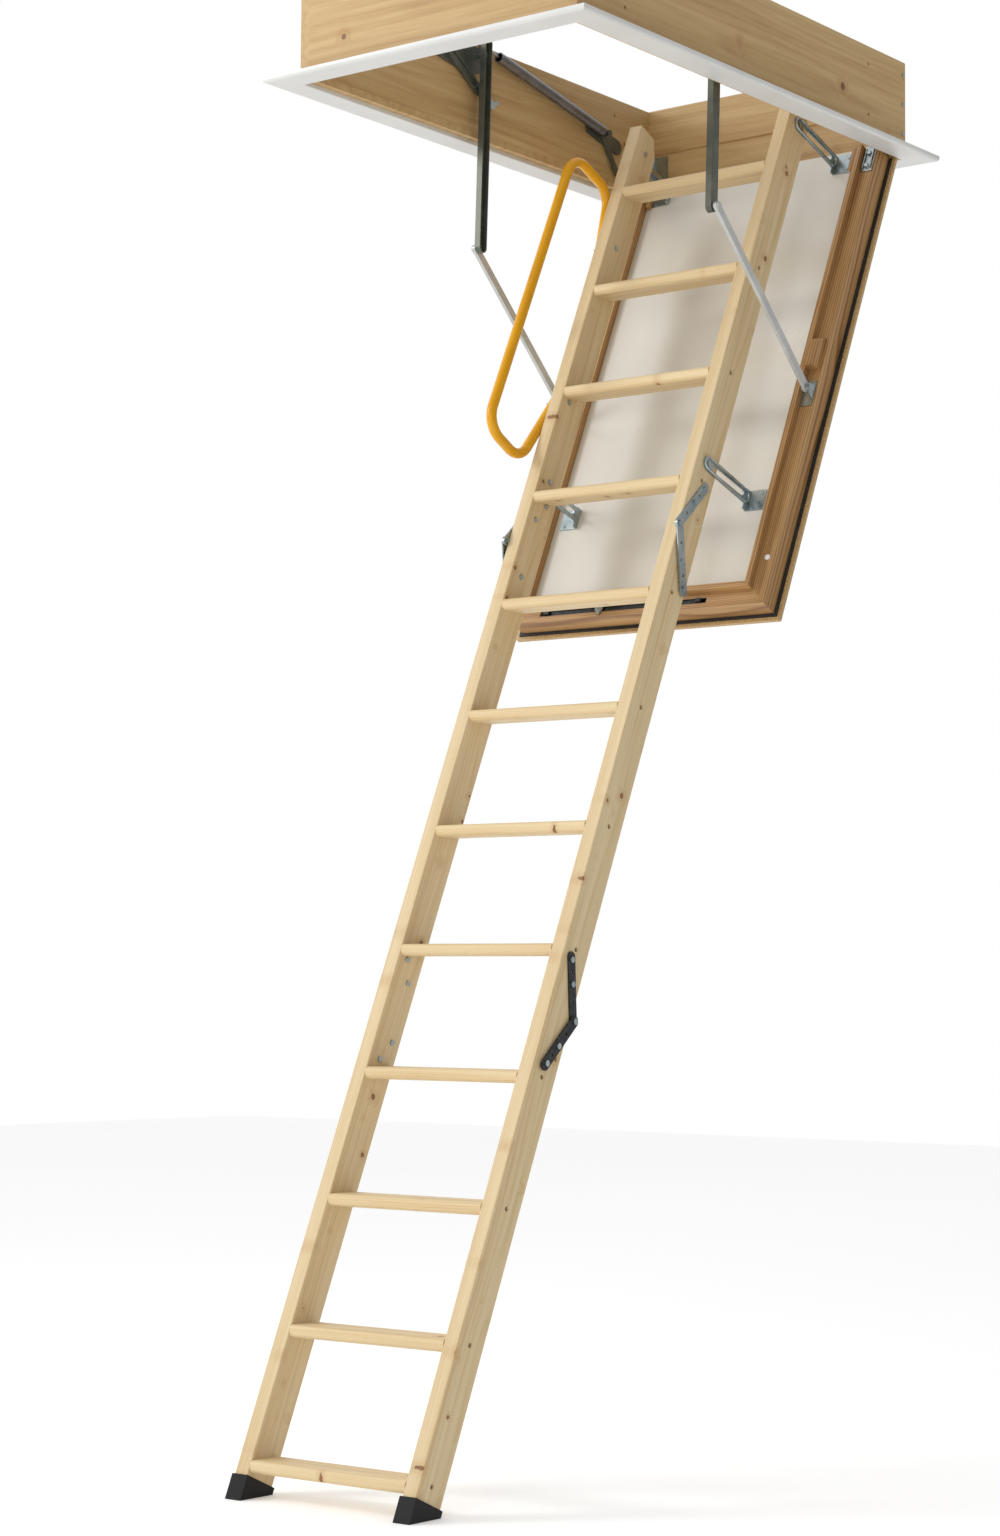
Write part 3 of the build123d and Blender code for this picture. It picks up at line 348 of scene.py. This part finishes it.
coatedLooks = {
    # white moulded PVC trim: satin, almost even
    "white PVC moulded": {
        "shades": ("#CFCFCC", "#D3D3D0", "#D7D7D4"),
        "cloudSize": 0.12, "gritSize": 0.0015,
        "roughness": (0.32, 0.4), "relief": 0.05, "ior": 1.53,
    },
    # melamine faced hardboard: greyish cream, sheen enough for soft reflections of the stringers
    "melamine board pressed": {
        "shades": ("#D3CFC4", "#D9D5CB", "#DEDBD2"),
        "cloudSize": 0.3, "gritSize": 0.002,
        "roughness": (0.2, 0.28), "relief": 0.04, "ior": 1.55,
        "coat": 0.3, "coatRoughness": 0.18,
    },
    # white lacquered plywood: smooth white on the room's side, bare golden ply on its rim
    "white lacquer rolled": {
        "shades": ("#E4E4E2", "#E6E6E4", "#E8E8E6"),
        "cloudSize": 0.25, "gritSize": 0.0018,
        "roughness": (0.3, 0.38), "relief": 0.08, "ior": 1.5,
        "edge": {"above": -0.0165, "grain": 0.004, "shades": ("#A88654", "#C3A26E")},
    },
    # white nylon bumpers: clean and smooth
    "white nylon moulded": {
        "shades": ("#E0E0DC", "#E6E6E3", "#EBEBE8"),
        "cloudSize": 0.01, "gritSize": 0.001,
        "roughness": (0.35, 0.45), "relief": 0.05, "ior": 1.53,
    },
    # expanded polystyrene: beads show as a fine grain
    "polystyrene foam": {
        "shades": ("#E6E6E6", "#EEEEEE", "#F4F4F4"),
        "cloudSize": 0.006, "gritSize": 0.003,
        "roughness": (0.6, 0.75), "relief": 0.4,
    },
    # EPDM seal: matt, slightly dusty black
    "EPDM rubber extruded": {
        "shades": ("#141414", "#1B1B1B", "#262625"),
        "cloudSize": 0.03, "gritSize": 0.001,
        "roughness": (0.55, 0.7), "relief": 0.2,
    },
    # bright zinc plate: bluish, clouded by the passivation
    "zinc plated steel": {
        "shades": ("#9AA6AA", "#AAB5B8", "#BBC2C0"),
        "cloudSize": 0.03, "gritSize": 0.0012,
        "roughness": (0.24, 0.34), "relief": 0.04, "metallic": 1.0,
    },
    # clear passivated dark steel: grey, with an olive cast that is a painted reflection of the brown frame
    # boards
    "dark zinc rolled": {
        "shades": ("#4C4F45", "#575A4F", "#63665A"),
        "cloudSize": 0.05, "gritSize": 0.001,
        "roughness": (0.34, 0.44), "relief": 0.06, "metallic": 0.35,
    },
    # drawn spring tube: grey with a faint violet cast and a long highlight
    "grey zinc drawn": {
        "shades": ("#737277", "#7A7A7E", "#808085"),
        "cloudSize": 0.04, "gritSize": 0.001,
        "roughness": (0.24, 0.32), "relief": 0.04, "metallic": 0.8,
    },
    # pale grey paint on the lower arms: clean, satin
    "pale grey paint": {
        "shades": ("#B4B5B2", "#BDBEBB", "#C5C6C3"),
        "cloudSize": 0.06, "gritSize": 0.0015,
        "roughness": (0.3, 0.38), "relief": 0.03, "metallic": 0.3,
    },
    # yellow powder coat: glossy with a faint orange peel skin
    "yellow powder coat": {
        "shades": ("#D89804", "#DFA006", "#E4A608"),
        "cloudSize": 0.08, "gritSize": 0.003,
        "roughness": (0.22, 0.27), "relief": 0.01, "ior": 1.4,
        "coat": 0.08, "coatRoughness": 0.06,
    },
    # black nylon feet: nearly even, a little sheen
    "black nylon moulded": {
        "shades": ("#0D0D0E", "#121213", "#19191A"),
        "cloudSize": 0.02, "gritSize": 0.0009,
        "roughness": (0.42, 0.52), "relief": 0.15, "ior": 1.3,
    },
    # black enamelled straps and latch: clouded towards grey
    "black enamel steel": {
        "shades": ("#1E2022", "#2A2C2E", "#3A3C3E"),
        "cloudSize": 0.01, "gritSize": 0.0009,
        "roughness": (0.3, 0.42), "relief": 0.1, "metallic": 0.5,
    },
}
coated = {name: coatedMaterial(name, look) for name, look in coatedLooks.items()}

finishes = {
    stringerSpruce: ["section%d_stringer_%s" % (n, side) for n in (1, 2, 3) for side in ("left", "right")],
    treadSpruce: ["section%d_treads" % n for n in (1, 2, 3)],
    sideBoardPine: ["frame_board_left", "frame_board_right"],
    endBoardPine: ["frame_board_front", "frame_board_rear", "frame_lippings"],
    sideRailPine: ["hatch_rail_left", "hatch_rail_right"],
    endRailPine: ["hatch_rail_front", "hatch_rail_rear"],
    coated["white PVC moulded"]: ["trim_left", "trim_right", "trim_front", "trim_rear"],
    coated["melamine board pressed"]: ["hatch_inner_panel"],
    coated["white lacquer rolled"]: ["hatch_outer_panel"],
    coated["polystyrene foam"]: ["hatch_insulation"],
    coated["EPDM rubber extruded"]: ["hatch_seal"],
    coated["zinc plated steel"]: [
        "frame_screws", "hatch_hinge_plates", "hatch_hinge_leaves", "hatch_hinge_pins", "latch_keeper",
        "hatch_screws", "ladder_brackets", "section1_screws", "section2_screws", "section3_screws",
        "upper_hinge_straps_top", "upper_hinge_straps_bottom", "fold_hinge_pins",
        "arm_lugs", "arm_pivot_pins", "elbow_pins",
        "stay_hook_left", "stay_hook_right", "latch_cam", "spring_rods"],
    coated["dark zinc rolled"]: ["upper_arm_left", "upper_arm_right", "arm_brackets", "spring_brackets"],
    coated["grey zinc drawn"]: ["spring_tubes"],
    coated["pale grey paint"]: ["lower_arm_left", "lower_arm_right"],
    coated["yellow powder coat"]: ["handrail"],
    coated["black nylon moulded"]: ["feet"],
    coated["black enamel steel"]: ["lower_hinge_straps_top", "lower_hinge_straps_bottom", "latch_case",
                                   "latch_bolt_left", "latch_bolt_right"],
}
for material, names in finishes.items():
    for name in names:
        mesh = cadNodes[name].data
        mesh.materials.clear()
        mesh.materials.append(material)
unfinished = set(cadNodes) - {name for names in finishes.values() for name in names}
print("materials given, parts without one:", sorted(unfinished))


def pressedPlate(shape, outline, origin, across, along, thick, soften):
    # a flat plate cut to an outline, with its edges softened
    face = shape.faces.new([shape.verts.new(origin + across * u + along * v) for u, v in outline])
    grown = bmesh.ops.extrude_face_region(shape, geom=[face])["geom"]
    moved = [item for item in grown if isinstance(item, bmesh.types.BMVert)]
    bmesh.ops.translate(shape, verts=moved, vec=across.cross(along).normalized() * thick)
    edges = {edge for vert in [*face.verts, *moved] for edge in vert.link_edges}
    bmesh.ops.bevel(shape, geom=list(edges), offset=soften, segments=2, profile=0.5, affect="EDGES")


def turnedPiece(shape, profile, origin, axis, sides):
    # a turned or hexagonal piece: pairs of radius and height, swept round an axis
    start = axis.orthogonal().normalized()
    rings = []
    for radius, height in profile:
        spins = [Matrix.Rotation(math.tau * step / sides, 3, axis) for step in range(sides)]
        rings.append([shape.verts.new(origin + axis * height + spin @ start * radius) for spin in spins])
    for low, high in zip(rings, rings[1:]):
        for step in range(sides):
            after = (step + 1) % sides
            shape.faces.new((low[step], low[after], high[after], high[step]))
    shape.faces.new(rings[-1])
    shape.faces.new(rings[0][::-1])


def finishPiece(name, shape, material, body):
    bmesh.ops.recalc_face_normals(shape, faces=shape.faces)
    mesh = bpy.data.meshes.new(name)
    shape.to_mesh(mesh)
    shape.free()
    mesh.materials.append(material)
    mesh.shade_smooth()
    mesh.set_sharp_from_angle(angle=math.radians(32))
    piece = bpy.data.objects.new(name, mesh)
    scene.collection.objects.link(piece)
    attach(piece, body)


def domeProfile(radius, height, steps=5):
    # a low dome on a skirt of a quarter of its height, with a small flat at the top
    turns = [math.pi / 2 * step / steps for step in range(steps)]
    return [(radius, 0)] + [(radius * math.cos(t), height * (0.25 + 0.75 * math.sin(t))) for t in turns] + [
        (radius * 0.08, height)]


def hexProfile(across, height):
    # the corners of a hex head, chamfered at the top
    corner = across / math.sqrt(3)
    return [(corner, 0), (corner, height * 0.82), (corner * 0.88, height)]


# small white stops on the hatch rails' outer steps
bumper = {"x": 0.304, "s": -1.047, "stand": 0.038, "radius": 0.0065, "height": 0.004}
shape = bmesh.new()
for side in (-1, 1):
    turnedPiece(shape, domeProfile(bumper["radius"], bumper["height"]),
                onLadder(side * bumper["x"], bumper["s"], bumper["stand"]), offLadder, 24)
finishPiece("hatchBumpers", shape, coated["white nylon moulded"], "hatch")

# timber fillets with rounded ends, beside the hatch hinges
fillet = {"x": 0.268, "width": 0.013, "top": -0.016, "bottom": -0.07, "stand": 0.038, "thick": 0.012}
roundSteps = 8
shape = bmesh.new()
for side in (-1, 1):
    half = fillet["width"] / 2
    endTurns = [math.pi * step / roundSteps for step in range(roundSteps + 1)]
    outline = [(-half * math.cos(t), fillet["bottom"] - half * math.sin(t)) for t in endTurns]
    outline += [(half, fillet["top"]), (-half, fillet["top"])]
    pressedPlate(shape, outline, onLadder(side * fillet["x"], 0, fillet["stand"]), acrossX, upLadder,
                 fillet["thick"], 0.0012)
finishPiece("hingeFillets", shape, sideRailPine, "hatch")

# pressed ribs and hex bolts on the hatch hinge leaves
hingeDetail = {"x": 0.304, "stand": 0.041, "ribs": (-0.009, 0.009), "ribWidth": 0.003, "ribHigh": 0.004,
               "ribEnds": (-0.071, -0.02), "bolts": (-0.032, -0.065), "acrossFlats": 0.01, "boltHigh": 0.006}
shape = bmesh.new()
for side in (-1, 1):
    for rib in hingeDetail["ribs"]:
        x = side * hingeDetail["x"] + rib
        low, high = hingeDetail["ribEnds"]
        half = hingeDetail["ribWidth"] / 2
        pressedPlate(shape, [(-half, low), (half, low), (half, high), (-half, high)],
                     onLadder(x, 0, hingeDetail["stand"]), acrossX, upLadder, hingeDetail["ribHigh"], 0.0009)
    for s in hingeDetail["bolts"]:
        turnedPiece(shape, hexProfile(hingeDetail["acrossFlats"], hingeDetail["boltHigh"]),
                    onLadder(side * hingeDetail["x"], s, hingeDetail["stand"]), offLadder, 6)
finishPiece("hingeBolts", shape, coated["zinc plated steel"], "hatch")

# nuts on the inner faces of the stringers, the same on the left and the right; each pair is (s, h)
nuts = {
    "face": 0.185, "across": 0.011, "height": 0.003,
    "hatch": [(-0.054, 0.198), (-0.911, 0.198), (-1.01, 0.208), (-0.966, 0.188),
              (-0.312, 0.203), (-0.718, 0.209)],
    "section2": [(-1.146, 0.202), (-1.194, 0.175), (-2.07, 0.188), (-2.028, 0.209)],
    "section3": [(-2.196, 0.185), (-2.24, 0.206)],
}
for body in ("hatch", "section2", "section3"):
    shape = bmesh.new()
    for side in (-1, 1):
        for s, h in nuts[body]:
            turnedPiece(shape, hexProfile(nuts["across"], nuts["height"]),
                        onLadder(side * nuts["face"], s, h), acrossX * -side, 6)
    finishPiece("stringerNuts_" + body, shape, coated["zinc plated steel"], body)

# the pressed beads round the loops of the ladder brackets
bead = {"x": 0.2215, "feet": (-0.048, -0.905), "low": (0.005, 0.055), "high": (-0.006, 0.198),
        "loopRadius": 0.0125, "thick": 0.003}
beadCurve = bpy.data.curves.new("bracketBeads", "CURVE")
beadCurve.dimensions = "3D"
beadCurve.bevel_depth = bead["thick"]
beadCurve.bevel_resolution = 3
for side in (-1, 1):
    for foot in bead["feet"]:
        ends = [Vector((foot + bead[end][0], bead[end][1])) for end in ("low", "high")]
        lean = math.atan2(ends[1].y - ends[0].y, ends[1].x - ends[0].x)
        loop = []
        for end, middle in ((1, ends[1]), (-1, ends[0])):
            for step in range(roundSteps + 1):
                turn = lean - math.pi / 2 + math.pi * step / roundSteps + (0 if end > 0 else math.pi)
                loop.append((middle.x + bead["loopRadius"] * math.cos(turn),
                             middle.y + bead["loopRadius"] * math.sin(turn)))
        spline = beadCurve.splines.new("POLY")
        spline.points.add(len(loop) - 1)
        spline.use_cyclic_u = True
        for point, (s, h) in zip(spline.points, loop):
            point.co = (*onLadder(side * bead["x"], s, h), 1)
beadCurve.materials.append(coated["zinc plated steel"])
beads = bpy.data.objects.new("bracketBeads", beadCurve)
scene.collection.objects.link(beads)
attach(beads, "hatch")

# hex bolts through the arm and spring brackets into the frame boards
frameBolts = {"x": 0.321, "across": 0.01, "height": 0.005,
              "at": [(-0.2, 0.183), (-0.2, 0.163), (-0.045, 0.183), (-0.13, 0.185)]}
shape = bmesh.new()
for side in (-1, 1):
    for y, z in frameBolts["at"]:
        turnedPiece(shape, hexProfile(frameBolts["across"], frameBolts["height"]),
                    Vector((side * frameBolts["x"], y, z)), acrossX * -side, 6)
finishPiece("frameBolts", shape, coated["zinc plated steel"], "frame")
print("small pieces made")

# white studio paper under the feet, with a faint glow of its own that lifts it towards white
paperLook = {"size": 12, "below": 0.0005, "grain": 3.0, "shades": ("#F4F4F4", "#F8F8F8"), "glow": 0.18}
floorZ = cadBox[0].z
floorMesh = bpy.data.meshes.new("studioFloor")
shape = bmesh.new()
bmesh.ops.create_grid(shape, x_segments=8, y_segments=8, size=paperLook["size"])
bmesh.ops.translate(shape, verts=shape.verts, vec=(0, 0, floorZ - paperLook["below"]))
shape.to_mesh(floorMesh)
shape.free()
floor = bpy.data.objects.new("studioFloor", floorMesh)
scene.collection.objects.link(floor)
material, tree, shader = newMaterial("studio paper")
paper = addNode(tree, "ShaderNodeTexNoise", inputs={"Scale": paperLook["grain"], "Detail": 2.0})
paper = addNode(tree, "ShaderNodeValToRGB", {}, {0: paper}, [
    (0.3, paperLook["shades"][0]), (0.7, paperLook["shades"][1])])
tree.links.new(paper.outputs[0], shader.inputs["Base Color"])
shader.inputs["Roughness"].default_value = 0.9
shader.inputs["Emission Color"].default_value = (1, 1, 1, 1)
shader.inputs["Emission Strength"].default_value = paperLook["glow"]
floorMesh.materials.append(material)

# a white studio, dimmer towards +X, so that the ladder's sides read darker than its fronts
studio = {"white": 1.0, "dim": 0.4, "dimFrom": -0.25, "dimTo": 0.85}
world = bpy.data.worlds.new("studioWhite")
world.use_nodes = True
scene.world = world
sky = world.node_tree
way = addNode(sky, "ShaderNodeTexCoord").outputs["Generated"]
way = lengthAlong(sky, way, acrossX)
glow = addNode(sky, "ShaderNodeMapRange", {"interpolation_type": "SMOOTHSTEP"}, {
    "Value": way, "From Min": studio["dimFrom"], "From Max": studio["dimTo"],
    "To Min": studio["white"], "To Max": studio["dim"]})
background = sky.nodes["Background"]
background.inputs["Color"].default_value = (1, 1, 1, 1)
sky.links.new(glow.outputs[0], background.inputs["Strength"])

# a soft key from high on the front left, and a weaker light low in front
lights = {
    "keyLight": {"at": (-3.6, -3.4, 1.2), "size": 1.6, "power": 90},
    "frontLight": {"at": (1.6, -5.5, -0.6), "size": 1.6, "power": 30},
}
target = Vector((0, -0.2, -1.2))
for name, light in lights.items():
    data = bpy.data.lights.new(name, "AREA")
    data.size = light["size"]
    data.energy = light["power"]
    lamp = bpy.data.objects.new(name, data)
    lamp.location = light["at"]
    lamp.rotation_euler = (target - Vector(light["at"])).to_track_quat("-Z", "Y").to_euler()
    scene.collection.objects.link(lamp)

# the camera stands low in front and to the right, and looks slightly up
view = {"at": (3.731934, -5.197868, -1.826497), "yaw": 0.6589, "pitch": 0.0717, "roll": 0.0074, "lens": 72.74}
forward = Vector((-math.sin(view["yaw"]) * math.cos(view["pitch"]),
                  math.cos(view["yaw"]) * math.cos(view["pitch"]), math.sin(view["pitch"])))
rightward = Vector((math.cos(view["yaw"]), math.sin(view["yaw"]), 0))
upward = rightward.cross(forward)
rolledRight = rightward * math.cos(view["roll"]) + upward * math.sin(view["roll"])
rolledUp = upward * math.cos(view["roll"]) - rightward * math.sin(view["roll"])
cameraData = bpy.data.cameras.new("camera")
cameraData.lens = view["lens"]
cameraData.sensor_width = 36
cameraData.clip_end = 100
camera = bpy.data.objects.new("camera", cameraData)
camera.matrix_world = Matrix((
    (rolledRight.x, rolledUp.x, -forward.x, view["at"][0]),
    (rolledRight.y, rolledUp.y, -forward.y, view["at"][1]),
    (rolledRight.z, rolledUp.z, -forward.z, view["at"][2]),
    (0, 0, 0, 1)))
scene.collection.objects.link(camera)
scene.camera = camera
scene.view_settings.view_transform = "Standard"
print("stage, lights and camera placed")

bpy.context.view_layer.update()
